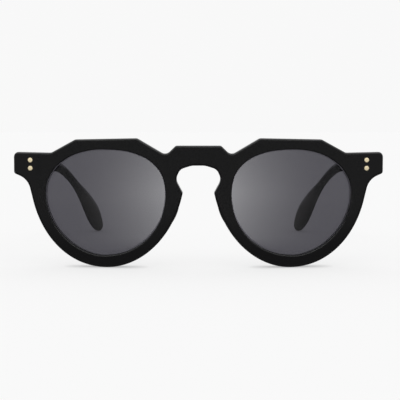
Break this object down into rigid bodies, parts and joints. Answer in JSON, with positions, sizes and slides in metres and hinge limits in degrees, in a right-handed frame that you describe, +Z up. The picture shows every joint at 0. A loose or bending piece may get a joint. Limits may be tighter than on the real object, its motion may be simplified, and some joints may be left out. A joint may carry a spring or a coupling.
{
  "type": "round acetate sunglasses",
  "caption": "Round keyhole-bridge acetate sunglasses with flat-topped rims, riveted hinges, smoke grey lenses and temples that bend down over the ears.",
  "frame": {"origin": "on the ground, midway between the front's foremost line and the temple tips, in the plane of symmetry", "axes": "-Y is the way the front faces, +Y runs back along the open temples, +X is the wearer's left, +Z is up"},
  "size_m": [0.143, 0.1427, 0.0496],
  "materials": {
    "front_acetate": "polished",
    "temple_acetate": "polished",
    "pad_acetate": "polished",
    "lens_tint": "polished",
    "rivet_brass": "polished",
    "hinge_steel": "satin",
    "screw_steel": "satin",
    "core_steel": "satin"
  },
  "bodies": {
    "front": {"front_frame": "front_acetate", "left_lens": "lens_tint", "left_nose_pad": "pad_acetate", "left_front_hinge": "hinge_steel", "left_hinge_screw": "screw_steel", "left_front_rivet_upper": "rivet_brass", "left_front_rivet_lower": "rivet_brass", "right_lens": "lens_tint", "right_nose_pad": "pad_acetate", "right_front_hinge": "hinge_steel", "right_hinge_screw": "screw_steel", "right_front_rivet_upper": "rivet_brass", "right_front_rivet_lower": "rivet_brass"},
    "left_arm": {"left_temple": "temple_acetate", "left_core_wire": "core_steel", "left_temple_hinge": "hinge_steel", "left_temple_rivet_front": "rivet_brass", "left_temple_rivet_rear": "rivet_brass"},
    "right_arm": {"right_temple": "temple_acetate", "right_core_wire": "core_steel", "right_temple_hinge": "hinge_steel", "right_temple_rivet_front": "rivet_brass", "right_temple_rivet_rear": "rivet_brass"}
  },
  "joints": [
    {"name": "left_temple_fold", "type": "hinge", "parent": "front", "child": "left_arm", "pos_m": [0.0675, -0.05774, 0.03951], "axis": [0, 0, 1], "range_deg": [0, 84]},
    {"name": "right_temple_fold", "type": "hinge", "parent": "front", "child": "right_arm", "pos_m": [-0.0675, -0.05774, 0.03951], "axis": [0, 0, -1], "range_deg": [0, 78]}
  ]
}
